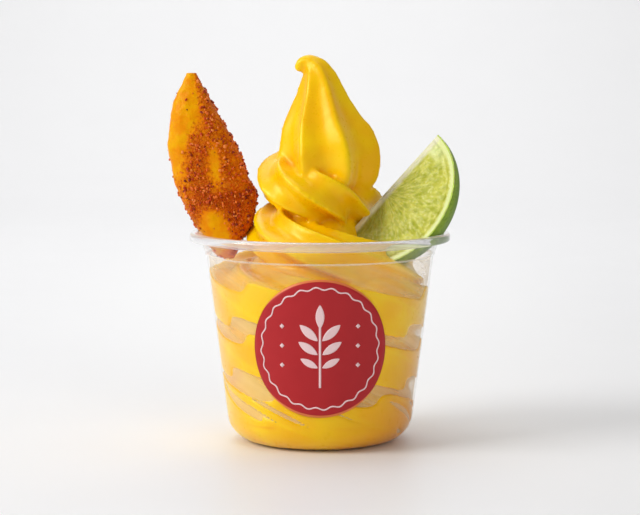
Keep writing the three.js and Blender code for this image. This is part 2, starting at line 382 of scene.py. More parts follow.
class Paint:
    """The node tree of one finish, which ends in a Principled shader."""

    def __init__(self, name: str, **constants: float | Sequence[float]) -> None:
        """Starts a material.

        Args:
            name: Its name.
            constants: Values of shader sockets that are the same all over, by socket name
                with underscores for spaces.
        """
        self.material = bpy.data.materials.new(name)
        self.material.use_nodes = True
        self.tree = self.material.node_tree
        self.tree.nodes.clear()
        self.shader = self.node("BsdfPrincipled")
        self.node("OutputMaterial", inputs={"Surface": self.shader.outputs[0]})
        for key, value in constants.items():
            self.shader.inputs[key.replace("_", " ")].default_value = value

    def node(
        self,
        kind: str,
        settings: dict[str, object] | None = None,
        inputs: dict[str | int, Value] | None = None,
    ) -> bpy.types.Node:
        """Adds a node.

        Args:
            kind: Its type, without the common start of the name.
            settings: Its own settings; stops are those of a ramp, as (place, colour).
            inputs: Values or links of its sockets, by name or number.

        Returns:
            The node.
        """
        node = self.tree.nodes.new(f"ShaderNode{kind}")
        for key, value in (settings or {}).items():
            if key == "stops":
                ramp = node.color_ramp.elements
                while len(ramp) < len(value):
                    ramp.new(1.0)
                for stop, (place, colour) in zip(ramp, value):
                    stop.position = place
                    stop.color = (*colour, 1.0)
            else:
                setattr(node, key, value)
        for key, value in (inputs or {}).items():
            self.plug(node.inputs[key], value)
        return node

    def plug(self, slot: Socket, value: Value) -> None:
        """Links a value to a socket, or sets it there."""
        if isinstance(value, Num):
            self.tree.links.new(value.socket, slot)
        elif isinstance(value, bpy.types.NodeSocket):
            self.tree.links.new(value, slot)
        elif slot.type == "RGBA" and len(value) == 3:
            slot.default_value = (*value, 1.0)
        else:
            slot.default_value = value

    def number(self, socket: Socket) -> Num:
        """Wraps a socket for maths."""
        return Num(self.tree, socket)

    def place(
        self,
        centre: Sequence[float] = (0.0, 0.0, 0.0),
        turn: Sequence[float] = (0.0, 0.0, 0.0),
        scale: float | Sequence[float] = 1.0,
    ) -> Socket:
        """Gives object coordinates in millimetres, in a frame of their own.

        Args:
            centre: Origin of that frame, in millimetres.
            turn: Its rotation, in radians about X, Y and Z.
            scale: Millimetres to one unit, for each axis.

        Returns:
            The vector socket.
        """
        sizes = (scale,) * 3 if isinstance(scale, float) else scale
        return self.node(
            "Mapping",
            {"vector_type": "TEXTURE"},
            {
                "Vector": self.node("TexCoord").outputs["Object"],
                "Location": [value * MM for value in centre],
                "Rotation": turn,
                "Scale": [value * MM for value in sizes],
            },
        ).outputs[0]

    def noise(self, vector: Socket, scale: float, detail: float = 2.0, warp: float = 0.0) -> Num:
        """Gives cloudy noise, from about 0.2 to 0.8.

        Args:
            vector: Where it is read.
            scale: Clouds to a unit.
            detail: Number of finer layers.
            warp: Distortion.

        Returns:
            The value.
        """
        inputs = {"Vector": vector, "Scale": scale, "Detail": detail, "Distortion": warp}
        return self.number(self.node("TexNoise", inputs=inputs).outputs[0])

    def cells(self, vector: Socket, scale: float) -> Num:
        """Gives the distance to the nearest of scattered points, of which scale go to a unit."""
        node = self.node("TexVoronoi", inputs={"Vector": vector, "Scale": scale})
        return self.number(node.outputs["Distance"])

    def mix(self, factor: Value, low: Value, high: Value) -> Socket:
        """Mixes two colours.

        Args:
            factor: Share of the second.
            low: The first.
            high: The second.

        Returns:
            The colour socket.
        """
        return self.node("Mix", {"data_type": "RGBA"}, {0: factor, 6: low, 7: high}).outputs[2]

    def ramp(self, value: Num, stops: Sequence[tuple[float, Colour]]) -> Socket:
        """Turns a value into a colour."""
        return self.node("ValToRGB", {"stops": stops}, {"Fac": value}).outputs[0]

    def axes(self, vector: Socket) -> tuple[Num, Num, Num]:
        """Splits a vector into its three numbers."""
        split = self.node("SeparateXYZ", inputs={"Vector": vector})
        return tuple(self.number(output) for output in split.outputs)

    def attribute(self, name: str) -> Num:
        """Reads a number that is stored on the mesh."""
        return self.number(self.node("Attribute", {"attribute_name": name}).outputs["Fac"])

    def feed(self, name: str, value: Value) -> None:
        """Links a value to a socket of the shader."""
        self.plug(self.shader.inputs[name], value)

    def relief(self, height: Num) -> None:
        """Gives the surface a relief of a height in millimetres."""
        self.feed("Normal", self.node("Bump", inputs={"Height": height, "Distance": MM}).outputs[0])

    def finish(self, colour: Socket, roughness: Value, height: Num) -> bpy.types.Material:
        """Gives the surface its colour, its roughness and its relief.

        Args:
            colour: Its colour.
            roughness: How matt it is.
            height: The height of its relief in millimetres.

        Returns:
            The material.
        """
        self.feed("Base Color", colour)
        self.feed("Roughness", roughness)
        self.relief(height)
        return self.material


@dataclass(frozen=True)
class SorbetFinish:
    """Moist, fine mango soft serve that light sinks into."""

    deep: Colour = linear(250, 188, 0)
    bright: Colour = linear(253, 206, 0)
    # Painted shade: the darker orange laid into hollows and creases.
    painted_crease_shade: Colour = linear(236, 136, 0)
    # Painted light: the paler yellow laid onto crests.
    painted_crest_light: Colour = linear(255, 218, 20)
    # Painted shade: the darker amber laid over the lower right.
    painted_amber_shade: Colour = linear(222, 128, 0)
    ice: float = 0.014

    def material(self) -> bpy.types.Material:
        """Builds the material."""
        paint = Paint(
            "sorbet",
            Subsurface_Weight=0.12,
            Subsurface_Radius=(1.0, 0.5, 0.1),
            Subsurface_Scale=0.0007,
            Specular_IOR_Level=0.62,
            Specular_Tint=(1.0, 0.88, 0.34, 1.0),
        )
        where = paint.place()
        cloud = paint.noise(where, 0.07, 2.0)
        fine = paint.noise(where, 0.8, 4.0)
        crystals = paint.noise(where, 5.0, 2.0)
        hollow = paint.attribute("hollow")
        colour = paint.mix(cloud.between(0.35, 0.65), self.deep, self.bright)
        # Painted shade: hollows and creases are painted a darker orange, where shade falls.
        colour = paint.mix(hollow.between(0.06, 0.9) * 0.9, colour, self.painted_crease_shade)
        # Painted light: crests are painted a paler yellow, as if catching the light.
        colour = paint.mix((0.0 - hollow).between(0.1, 0.7) * 0.7, colour, self.painted_crest_light)
        across, _, high = paint.axes(where)
        # Painted shade: the lower right, turned from the key light, is painted a darker amber.
        painted_shade_low_right = (across + cloud * 30.0 - high * 0.8).between(5.0, 45.0)
        colour = paint.mix(painted_shade_low_right * 0.75, colour, self.painted_amber_shade)
        return paint.finish(colour, 0.23 + fine * 0.12, fine * 0.04 + crystals * self.ice)


@dataclass(frozen=True)
class MangoFinish:
    """Ripe mango flesh under a wet dusting of chilli."""

    flesh: Colour = linear(238, 170, 2)
    ripe: Colour = linear(234, 142, 2)
    stain: Colour = linear(236, 124, 2)
    dark: Colour = linear(132, 32, 4)
    spice: Colour = linear(214, 86, 4)
    pale: Colour = linear(242, 132, 36)

    def material(self) -> bpy.types.Material:
        """Builds the material."""
        paint = Paint(
            "mango",
            Subsurface_Weight=0.15,
            Subsurface_Radius=(1.0, 0.4, 0.1),
            Subsurface_Scale=0.001,
            Specular_IOR_Level=0.18,
            Specular_Tint=(1.0, 0.75, 0.3, 1.0),
        )
        where = paint.place()
        dust = paint.attribute("dust")
        cloud = paint.noise(where, 0.2, 3.0)
        blot = paint.noise(where, 0.9, 4.0)
        grit = paint.noise(where, 3.2, 3.0)
        wet = paint.cells(where, 1.5)
        flesh = paint.mix(cloud.between(0.35, 0.65), self.flesh, self.ripe)
        flesh = paint.mix((dust + (blot - 0.5) * 0.4).between(0.1, 0.5) * 0.8, flesh, self.stain)
        stops = [(0.3, self.dark), (0.47, self.spice), (0.6, self.spice), (0.72, self.pale)]
        spice = paint.ramp(grit * 0.6 + wet * 0.5, stops)
        spice = paint.mix(dust.between(0.7, 1.0) * 0.4, spice, self.dark)
        cover = (dust + (blot - 0.5) * 1.5 + (grit - 0.5) * 0.4).between(0.32, 0.95)
        height = (grit + wet) * 0.4 * cover + blot * 0.25
        return paint.finish(paint.mix(cover, flesh, spice), 0.34 + cover * 0.16, height)


@dataclass(frozen=True)
class ChilliFinish:
    """Coarse flakes of chilli and salt, each of its own tone."""

    dark: Colour = linear(120, 24, 6)
    red: Colour = linear(196, 62, 8)
    orange: Colour = linear(236, 118, 34)
    salt: Colour = linear(242, 144, 66)

    def material(self) -> bpy.types.Material:
        """Builds the material."""
        paint = Paint("chilli", Roughness=0.3, Specular_IOR_Level=0.35)
        stops = [(0.0, self.dark), (0.35, self.red), (0.75, self.orange), (0.98, self.salt)]
        paint.feed("Base Color", paint.ramp(paint.attribute("tone"), stops))
        return paint.material


@dataclass(frozen=True)
class LimeFinish:
    """The cut faces and the rind of a lime, told apart by the distance from its core."""

    flesh: Colour = linear(206, 206, 82)
    juicy: Colour = linear(172, 178, 46)
    painted_glint: Colour = linear(232, 232, 158)
    painted_shadow_olive: Colour = linear(128, 122, 34)
    pith: Colour = linear(222, 230, 150)
    core: Colour = linear(228, 226, 190)
    rind: Colour = linear(178, 206, 52)
    peel: Colour = linear(104, 136, 30)

    def cut_face(self) -> bpy.types.Material:
        """Builds the wet cut face."""
        paint = Paint(
            "lime_flesh",
            Subsurface_Weight=0.2,
            Subsurface_Radius=(0.8, 1.0, 0.3),
            Subsurface_Scale=0.0015,
            Specular_IOR_Level=0.35,
        )
        reach = paint.attribute("reach")
        bearing = paint.attribute("bearing")
        where = paint.place()
        fan = paint.node("CombineXYZ", inputs={0: bearing * 10.0, 1: reach * 7.0, 2: 0.0}).outputs[0]
        strands = paint.noise(fan, 1.6, 3.0, 0.6)
        sacs = paint.cells(fan, 1.0)
        wet = paint.noise(where, 1.1, 3.0)
        flesh = paint.mix((strands * 0.6 + sacs * 0.4).between(0.3, 0.65), self.juicy, self.flesh)
        # Painted highlights: paler glints are painted on the wet flesh.
        flesh = paint.mix((wet + strands).between(1.05, 1.3) * 0.45, flesh, self.painted_glint)
        # Painted shadow: the flesh near the lower end, beside the swirl, is painted a darker olive.
        painted_shadow = (bearing + (strands - 0.5) * 0.5).between(2.05, 2.5)
        flesh = paint.mix(painted_shadow * 0.6, flesh, self.painted_shadow_olive)
        edge = reach + (wet - 0.5) * 0.03
        pole = 1.0 - bearing.between(0.1, 0.6)
        pith = edge.between(0.922, 0.942).at_least(reach.between(0.72, 0.8) * pole)
        colour = paint.mix(pith, flesh, self.pith)
        from_core = reach * bearing.sine() + (wet - 0.5) * 0.04
        colour = paint.mix(1.0 - from_core.between(0.04, 0.11), colour, self.core)
        colour = paint.mix(reach.between(0.972, 0.985), colour, self.rind)
        soft = 1.0 - reach.between(0.88, 0.92)
        height = ((1.0 - sacs) * 0.4 + strands * 0.2) * soft + wet * 0.15
        return paint.finish(colour, 0.2 + wet * 0.2, height)

    def skin(self) -> bpy.types.Material:
        """Builds the waxy, pored rind."""
        paint = Paint("lime_rind", Specular_IOR_Level=0.1)
        where = paint.place()
        cloud = paint.noise(where, 0.12, 3.0)
        pores = paint.cells(where, 0.75).between(0.1, 0.5)
        # Painted shade mixed with cloudy tone: the skin is painted darker towards its middle, away from
        # the cut faces.
        ripe = paint.attribute("reach") + (cloud - 0.5) * 0.5
        colour = paint.mix(ripe.between(0.2, 0.9), self.rind, self.peel)
        colour = paint.mix(pores * 0.35, self.peel, colour)
        return paint.finish(colour, 0.4 + cloud * 0.15, pores * 0.1 + cloud * 0.4)


@dataclass(frozen=True)
class ClearFinish:
    """Thin moulded plastic, clear outside and hazed with frost inside."""

    tint: Colour = linear(246, 246, 248)
    film: Colour = linear(250, 230, 182)
    rings: tuple[float, ...] = (68.5, 73.2)
    ring_half: float = 0.35
    ring_highlight_veil: float = 0.24
    edge_reflection_veil: float = 0.45
    food_top: tuple[float, float] = (50.0, 60.0)
    streak_size: tuple[float, float, float] = (8.0, 8.0, 60.0)
    winding: float = 0.065

    def material(
        self,
        name: str,
        tint: Colour,
        haze: float,
        streaks: float,
        frost: float,
        roughness: float,
    ) -> bpy.types.Material:
        """Builds one side of the wall.

        Args:
            name: Name of the material.
            tint: Its colour.
            haze: How much of what is behind it is veiled.
            streaks: How much of that comes and goes in drawn streaks.
            frost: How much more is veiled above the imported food.
            roughness: Roughness of its gloss.

        Returns:
            The material.
        """
        paint = Paint(name, Base_Color=(*tint, 1.0), Specular_IOR_Level=0.3)
        _, _, high = paint.axes(paint.place())
        wound = paint.node(
            "VectorRotate",
            {"rotation_type": "Z_AXIS"},
            {"Vector": paint.place(scale=self.streak_size), "Angle": high * self.winding},
        ).outputs[0]
        cloud = paint.noise(wound, 1.0, 3.0)
        drops = paint.noise(paint.place(), 0.9, 3.0)
        facing = paint.number(paint.node("LayerWeight", inputs={"Blend": 0.35}).outputs["Facing"])
        upper = high.between(*self.food_top)
        wet = paint.cells(paint.place(), 0.7).less(0.25) * upper * 0.4
        streak = streaks * (cloud - 0.5)
        # Painted reflection: the wall is veiled whiter where it is seen edge-on.
        edge = facing**3.0 * self.edge_reflection_veil * high.between(-2.0, 8.0)
        veil = (haze + streak) * (1.0 - upper * 0.7) + upper * streak + frost * (upper + wet) + edge
        # Painted highlights: thin whiter lines along the two stacking rings.
        for ring in self.rings:
            veil = veil + (high - ring).absolute().less(self.ring_half) * self.ring_highlight_veil
        paint.feed("Alpha", veil.at_most(1.0).at_least(0.0))
        paint.feed("Roughness", roughness + drops * 0.05)
        paint.relief(drops * 0.02)
        return paint.material

    def rolled(self) -> bpy.types.Material:
        """Builds the thick rim, which bends the light."""
        paint = Paint(
            "cup_rim",
            Base_Color=(*self.tint, 1.0),
            Transmission_Weight=0.78,
            IOR=1.45,
        )
        drops = paint.noise(paint.place(), 0.9, 3.0)
        paint.feed("Roughness", 0.06 + drops * 0.06)
        return paint.material


@dataclass(frozen=True)
class StickerFinish:
    """Satin printed paper."""

    red: Colour = linear(182, 32, 38)
    shade: Colour = linear(174, 28, 34)
    edge: Colour = linear(232, 128, 74)
    pale: Colour = linear(244, 214, 214)
    rose: Colour = linear(236, 200, 204)
    border: float = 0.9

    def paper(self, radius: float, centre: Vector) -> bpy.types.Material:
        """Builds the red ground with its lighter edge.

        Args:
            radius: Radius of the sticker.
            centre: Its middle.

        Returns:
            The material.
        """
        paint = Paint("sticker_red", Specular_IOR_Level=0.3)
        where = paint.place()
        fibre = paint.noise(where, 2.5, 3.0)
        cloud = paint.noise(where, 0.15, 2.0)
        across, _, high = paint.axes(paint.place(centre=centre))
        out = (across**2.0 + high**2.0) ** 0.5
        ground = paint.mix(cloud, self.shade, self.red)
        border = out.between(radius - self.border, radius - self.border / 1.5)
        colour = paint.mix(border, ground, self.edge)
        return paint.finish(colour, 0.36 + fibre * 0.12, fibre * 0.02)

    def ink(self) -> bpy.types.Material:
        """Builds the pale print."""
        paint = Paint("sticker_print", Specular_IOR_Level=0.4)
        fibre = paint.noise(paint.place(), 2.0, 3.0)
        paint.feed("Base Color", paint.mix(fibre, self.pale, self.rose))
        paint.feed("Roughness", 0.4 + fibre * 0.1)
        return paint.material


# ---- Cup ----


@dataclass
class Cup:
    """The thin clear cup: a rounded base, a flared wall, a shoulder, a collar and a rim."""

    height: float = 76.7
    wall: float = 0.8
    base_radius: float = 33.0
    slope: float = 0.123
    corner_radius: float = 10.5
    shoulder_z: float = 68.3
    shoulder_step: float = 0.5
    collar_radius: float = 43.3
    rim_radius: float = 47.5
    rim_depth: float = 3.1
    rim_sink: float = 0.05
    rim_fillet: float = 0.7
    rim_ledge: float = 1.3
    lip: float = 1.5
    lip_width: float = 2.6
    sides: int = 144
    corner_steps: int = 14
    finish: ClearFinish = field(default_factory=ClearFinish)

    def wall_radius(self, z: float, inset: float = 0.0) -> float:
        """Returns the radius of the straight wall at a height, inset from its outside."""
        return self.base_radius + z * self.slope - inset / math.cos(math.atan(self.slope))

    def inner_radius(self, z: float, inset: float) -> float:
        """Gives the radius of the cup at a height, inset from its outside.

        Args:
            z: Height above the table.
            inset: Distance in from the outside.

        Returns:
            The radius, which shrinks round the corner of the base.
        """
        radius = self.corner_radius - inset
        drop = self.corner_radius - z
        if drop <= 0.0:
            return self.wall_radius(z, inset)
        middle = self.corner_middle()
        reach = math.sqrt(max(radius**2 - drop**2, 0.0))
        return min(middle + reach, self.wall_radius(z, inset))

    def corner_middle(self) -> float:
        """Returns the radius at which the arc of the base corner has its centre."""
        lean = math.cos(math.atan(self.slope))
        return self.base_radius + self.corner_radius * self.slope - self.corner_radius / lean

    def body_profile(self, inset: float) -> list[tuple[float, float]]:
        """Gives the base, corner, wall and shoulder, inset from the outside.

        Args:
            inset: Distance in from the outside.

        Returns:
            Points of (radius, height) from the axis upwards.
        """
        lean = math.atan(self.slope)
        middle = (self.corner_middle(), self.corner_radius)
        step = self.shoulder_step
        top = self.wall_radius(self.shoulder_z, inset)
        return [
            (0.0, inset),
            *arc(middle, self.corner_radius - inset, -QUARTER, -lean, self.corner_steps),
            (top, self.shoulder_z),
            (top + 0.35 * step, self.shoulder_z + 0.3 * step),
            (top + step, self.shoulder_z + step),
            (self.collar_radius - inset, self.height - self.rim_depth),
        ]

    def rim_profile(self) -> list[tuple[float, float]]:
        """Gives the rolled rim from its lower edge over the top to the inside."""
        base = self.height - self.rim_depth
        outer = self.rim_radius
        inner = self.collar_radius - self.wall
        fillet = (outer - self.rim_fillet, base + self.rim_fillet)
        lip = (outer - self.lip, self.height - self.lip)
        return [
            (self.collar_radius + 0.5, base - self.rim_sink),
            (outer - self.rim_ledge, base - self.rim_sink),
            *arc(fillet, self.rim_fillet, -QUARTER, 0.0, 4),
            *arc(lip, self.lip, 0.0, QUARTER, 6),
            (outer - self.lip_width, self.height - self.rim_sink),
            (inner + 0.9, self.height - 0.5),
            (inner + 0.25, self.height - 1.3),
        ]

    def build(self) -> bpy.types.Object:
        """Builds the cup, which stands for the part's own."""
        outside = self.body_profile(0.0)
        inside = list(reversed(self.body_profile(self.wall)))
        bm = turned([*outside, *self.rim_profile(), *inside], self.sides)
        for face in bm.faces:
            middle = face.calc_center_median()
            out = math.hypot(middle.x, middle.y)
            rim = middle.z > self.height - self.rim_depth - 0.02
            inward = out < self.inner_radius(middle.z, 0.5 * self.wall)
            inward = inward and middle.z > 0.5 * self.wall
            face.material_index = 2 if rim else int(inward)
        clear = self.finish.material(
            "cup_clear", self.finish.tint, haze=0.01, streaks=0.01, frost=0.02, roughness=0.06
        )
        hazed = self.finish.material(
            "cup_haze", self.finish.film, haze=0.34, streaks=0.5, frost=0.06, roughness=0.3
        )
        rim = self.finish.rolled()
        piece = finished(bm, "cup_wall", [clear, hazed, rim])
        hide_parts("cup")
        return piece


# ---- Soft serve ----


@dataclass(frozen=True)
class Bump:
    """A local bump along the rope."""

    turns: float
    spread: float
    depth: float

    def at(self, turns: float) -> float:
        """Returns its size at a place on the rope."""
        return self.depth * math.exp(-(((turns - self.turns) / self.spread) ** 2))


CONE_STATIONS = (
    Station(3.2, 92.3, 13.5),
    Station(3.7, 97.3, 18.4),
    Station(3.6, 102.8, 19.6),
    Station(2.9, 108.3, 18.9),
    Station(1.6, 114.8, 16.2),
    Station(0.9, 121.3, 12.7),
    Station(0.4, 127.3, 9.5),
    Station(-0.5, 132.6, 7.2),
    Station(-2.0, 136.2, 5.0),
    Station(-4.4, 138.3, 2.8),
    Station(-6.6, 137.9, 1.9),
    Station(-7.7, 136.2, 1.5),
    Station(-7.5, 134.9, 1.2),
)


@dataclass
class SoftServe:
    """A fluted rope coiled downwards from a cone with a curled tip.

    A level of the rope is told by its turns below the cone.
    """

    cup: Cup
    cone_flutes: int = 7
    rope_flutes: int = 6
    flute_depth: float = 0.29
    flute_rounding: float = 0.1
    half_width: float = 13.8
    half_height: float = 10.6
    top_z: float = 104.6
    pitch: float = 18.2
    pitch_growth: float = 0.14
    free_radius: float = 24.0
    free_start: float = 0.8
    free_turns: float = 0.5
    free_spread: float = 2.0
    spread_turns: tuple[float, float] = (0.9, 1.6)
    thin_start: float = 0.72
    thin_turns: float = 0.45
    lime_dent: Bump = Bump(0.9, 0.075, 4.0)
    rim_sag: Bump = Bump(1.97, 0.22, 5.5)
    lean: float = 3.0
    press: float = 3.8
    press_turns: tuple[float, float] = (1.3, 2.4)
    gap: float = 0.3
    squash: float = 1.08
    squash_turns: tuple[float, float] = (1.9, 2.6)
    pool_z: float = 8.0
    groove: float = 2.4
    core_turns: tuple[float, float] = (2.2, 2.9)
    helix: float = 0.065
    rope_phase: float = math.radians(-21.0)
    slow_twist: float = 0.37
    fast_twist: float = 1.35
    rope_start: float = 0.08
    rope_end: float = 6.6
    steps_per_turn: int = 84
    points_per_flute: int = 12
    cone_twist: float = math.radians(-4.0)
    cone_phase: float = math.radians(-31.0)
    cone_steps: int = 150
    voxel: float = 0.81
    blur: int = 24
    melt: int = 1
    wander: float = 0.28
    wander_scales: tuple[float, float] = (0.09, 0.3)
    furrow_depth: float = 1.6
    furrow_scales: tuple[float, float] = (0.12, 0.02)
    furrow_foot: tuple[float, float] = (3.0, 6.0)
    furrow_top: tuple[float, float] = (18.0, 24.0)
    furrow_edge: tuple[float, float] = (0.12, 0.3)
    pressed_flutes: float = 0.95
    pressed_twist: float = 0.55
    wet_reach: float = 1.8
    base_reach: float = 4.0
    reach_levels: tuple[float, float] = (7.0, 17.0)
    into_wall: float = 0.45
    ease: float = 1.8
    finish: SorbetFinish = field(default_factory=SorbetFinish)

    def fluted(self, angle: float, flutes: int, depth: float) -> float:
        """Gives the radius of a star-shaped section of half-size 1.

        Args:
            angle: Place round the section.
            flutes: Number of flutes.
            depth: How deep they are.

        Returns:
            The radius there, with round crests and smooth valleys.
        """
        rounding = self.flute_rounding
        swing = math.hypot(math.sin(flutes * angle / 2.0), rounding) - rounding
        return 1.0 - depth * swing / (math.hypot(1.0, rounding) - rounding)

    def rope_z(self, turns: float) -> float:
        """Returns the height of the rope's middle."""
        lean = self.lean / 2.0 * (1.0 - math.cos(TURN * turns)) * smoothstep(turns, 2.0, 2.5)
        fall = self.pitch * turns + self.pitch_growth * turns**2
        return self.top_z - fall - lean - self.rim_sag.at(turns)

    def coil_radius(self, turns: float) -> float:
        """Gives the outer radius of the coil: free above, pressed to the wall below."""
        start = lerp(self.free_start, 1.0, smoothstep(turns, 0.0, self.free_turns))
        spread = self.free_spread * smoothstep(turns, *self.spread_turns)
        free = self.free_radius * start + spread - self.lime_dent.at(turns)
        pressed = self.cup.wall_radius(self.rope_z(turns), self.cup.wall + self.gap) + self.press
        return lerp(free, pressed, smoothstep(turns, *self.press_turns))

    def rope_size(self, turns: float) -> float:
        """Returns how far the rope has grown from its thin start."""
        return lerp(self.thin_start, 1.0, smoothstep(turns, 0.0, self.thin_turns))

    def rope_middle(self, turns: float) -> float:
        """Returns the radius of the coil at the rope's middle."""
        return self.coil_radius(turns) - self.half_width * self.rope_size(turns)

    def rope_twist(self, turns: float) -> float:
        """Returns the turn of the flutes round the rope."""
        swing = self.slow_twist * turns + self.fast_twist * math.tanh(turns / 1.8)
        swing += self.pressed_twist * max(turns - 2.1, 0.0)
        return self.rope_phase - TURN * swing

    def rope_point(self, part: float, along: float) -> Vector:
        """Gives a point on the rope.

        Args:
            part: Part of a turn round the section, which turns with the flutes.
            along: Part of the length, from the lower end.

        Returns:
            The point.
        """
        turns = lerp(self.rope_end, self.rope_start, along)
        angle = TURN * part + self.rope_twist(turns)
        across = self.half_width * self.rope_size(turns)
        pressed = smoothstep(turns, *self.squash_turns)
        high = self.half_height * self.rope_size(turns) * lerp(1.0, self.squash, pressed)
        oval = across * high / math.hypot(high * math.cos(angle), across * math.sin(angle))
        depth = self.flute_depth * lerp(1.0, self.pressed_flutes, pressed)
        reach = oval * self.fluted(TURN * part, self.rope_flutes, depth)
        out = self.rope_middle(turns) + reach * math.cos(angle)
        z = self.rope_z(turns) + reach * math.sin(angle)
        return Vector((*polar(out, TURN * turns), z))

    def cone_point(self, curve: StationCurve, part: float, along: float) -> Vector:
        """Gives a point on the cone, whose sections are square to its own path.

        Args:
            curve: The path of the cone.
            part: Part of a turn round the section.
            along: Part of the length, from the foot.

        Returns:
            The point.
        """
        at = curve.at(along)
        way_x, way_z = curve.heading(along)
        depth = self.flute_depth * lerp(0.9, 0.3, along)
        angle = TURN * part + self.cone_phase + self.cone_twist * along
        reach = at.z * self.fluted(TURN * part, self.cone_flutes, depth)
        side = reach * math.sin(angle)
        return Vector((at.x + side * way_z, -reach * math.cos(angle), at.y - side * way_x))

    def rough(self) -> bmesh.types.BMesh:
        """Makes the rope, the cone and the filled middle, still running into each other."""
        curve = StationCurve(CONE_STATIONS)
        steps = round((self.rope_end - self.rope_start) * self.steps_per_turn)
        rope = swept(self.rope_flutes * self.points_per_flute, steps, self.rope_point)
        sides = self.cone_flutes * self.points_per_flute
        cone = swept(sides, self.cone_steps, lambda part, along: self.cone_point(curve, part, along))
        levels = [self.rope_end - step / 2.0 for step in range(int(2.0 * self.rope_end))]
        middle = [(self.core_radius(turns), self.rope_z(turns)) for turns in levels]
        core = turned([(0.0, middle[0][1]), *middle, (0.0, middle[-1][1])], 48, closed=False)
        pool = turned([(0.0, 0.0), *self.pool_edge(), (0.0, self.pool_z)], 96, closed=False)
        return joined([rope, cone, core, pool])

    def core_radius(self, turns: float) -> float:
        """Returns how far the filled middle reaches, nearly to the wall where the rope is pressed."""
        filled = self.coil_radius(turns) - self.press - self.groove
        return lerp(self.rope_middle(turns) + 1.0, filled, smoothstep(turns, *self.core_turns))

    def pool_edge(self) -> list[tuple[float, float]]:
        """Gives the outline of the melt that fills the corner of the base."""
        levels = [self.pool_z * step / 12.0 for step in range(13)]
        inset = self.cup.wall - self.into_wall
        return [(self.cup.inner_radius(max(z, inset), inset), z) for z in levels]

    def build(self) -> bpy.types.Object:
        """Builds the swirl as one skin, which stands for the part's own."""
        piece = finished(self.rough(), "sorbet_swirl", [])
        remesh = piece.modifiers.new("skin", "REMESH")
        remesh.mode = "VOXEL"
        remesh.voxel_size = self.voxel * MM
        melt = piece.modifiers.new("melt", "SMOOTH")
        melt.factor = 0.5
        melt.iterations = self.melt
        skin = self.evaluated(piece)
        melt.iterations = self.blur
        blurred = self.evaluated(piece)
        piece.modifiers.clear()
        skin_points = [(vertex.co / MM, vertex.normal.copy()) for vertex in skin.vertices]
        # How far each point lies below the blurred skin: above zero in hollows, below zero on crests. The
        # finish paints shade into the hollows and light onto the crests with it.
        hollow = [
            (soft.co / MM - point).dot(normal)
            for soft, (point, normal) in zip(blurred.vertices, skin_points)
        ]
        skin.attributes.new("hollow", "FLOAT", "POINT").data.foreach_set("value", hollow)
        for vertex, (point, normal) in zip(skin.vertices, skin_points):
            vertex.co = self.settled(point, normal) * MM
        skin.materials.append(self.finish.material())
        skin.shade_smooth()
        piece.data = skin
        LOG.info("sorbet_swirl: %d faces after the skin is closed", len(skin.polygons))
        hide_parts("soft_serve")
        return piece

    def evaluated(self, piece: bpy.types.Object) -> bpy.types.Mesh:
        """Returns the mesh of a piece with its modifiers as they stand."""
        bpy.context.view_layer.update()
        graph = bpy.context.evaluated_depsgraph_get()
        return bpy.data.meshes.new_from_object(piece.evaluated_get(graph))

    def contact(self, z: float) -> float:
        """Returns how near to the wall the swirl has to be to cling to it, widest at the base."""
        return lerp(self.base_reach, self.wet_reach, smoothstep(z, *self.reach_levels))

    def settled(self, point: Vector, normal: Vector) -> Vector:
        """Makes a point of the skin a little uneven and presses it against the cup.

        Args:
            point: The point.
            normal: Which way the skin faces there.

        Returns:
            The point, no further out than just into the wall.
        """
        broad, small = self.wander_scales
        uneven = noise.noise(point * broad) + 0.4 * noise.noise(point * small)
        moved = point + normal * self.wander * uneven
        inset = self.cup.wall - self.into_wall
        moved.z = max(moved.z, inset) if moved.z < self.cup.height else moved.z
        if moved.z < self.cup.shoulder_z + 1.0:
            out = math.hypot(moved.x, moved.y)
            most = self.cup.inner_radius(moved.z, inset)
            reach = self.into_wall + self.contact(moved.z)
            pulled = out + reach * (1.0 - smoothstep(most - out, reach, reach + self.ease))
            if most - out < reach:
                pulled = most - self.furrow(point)
            moved.x *= pulled / max(out, 1.0)
            moved.y *= pulled / max(out, 1.0)
        return moved

    def furrow(self, point: Vector) -> float:
        """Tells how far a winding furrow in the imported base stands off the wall.

        Args:
            point: A place at the wall.

        Returns:
            The depth, 0 above the base and between the furrows.
        """
        wound = Matrix.Rotation(self.helix * point.z, 3, "Z") @ point
        across, up = self.furrow_scales
        wave = noise.noise(Vector((wound.x * across, wound.y * across, point.z * up)))
        low = smoothstep(point.z, *self.furrow_foot) * (1.0 - smoothstep(point.z, *self.furrow_top))
        return self.furrow_depth * low * smoothstep(wave, *self.furrow_edge)


# ---- Mango wedge ----


MANGO_STATIONS = (
    Station(-34.4, 66.6, 3.2),
    Station(-35.4, 72.0, 6.0),
    Station(-35.7, 79.0, 10.9),
    Station(-37.0, 88.6, 14.2),
    Station(-39.9, 97.0, 13.9),
    Station(-43.0, 107.5, 12.8),
    Station(-45.1, 117.3, 9.6),
    Station(-46.6, 127.0, 5.6),
    Station(-46.8, 134.4, 2.1),
)


@dataclass(frozen=True)
class Patch:
    """A patch of the wedge with more or less chilli: its middle, half sizes and amount."""

    x: float
    z: float
    half_x: float
    half_z: float
    amount: float

    def at(self, x: float, z: float) -> float:
        """Returns the amount that it adds at a place."""
        far = ((x - self.x) / self.half_x) ** 2 + ((z - self.z) / self.half_z) ** 2
        return self.amount * math.exp(-far)


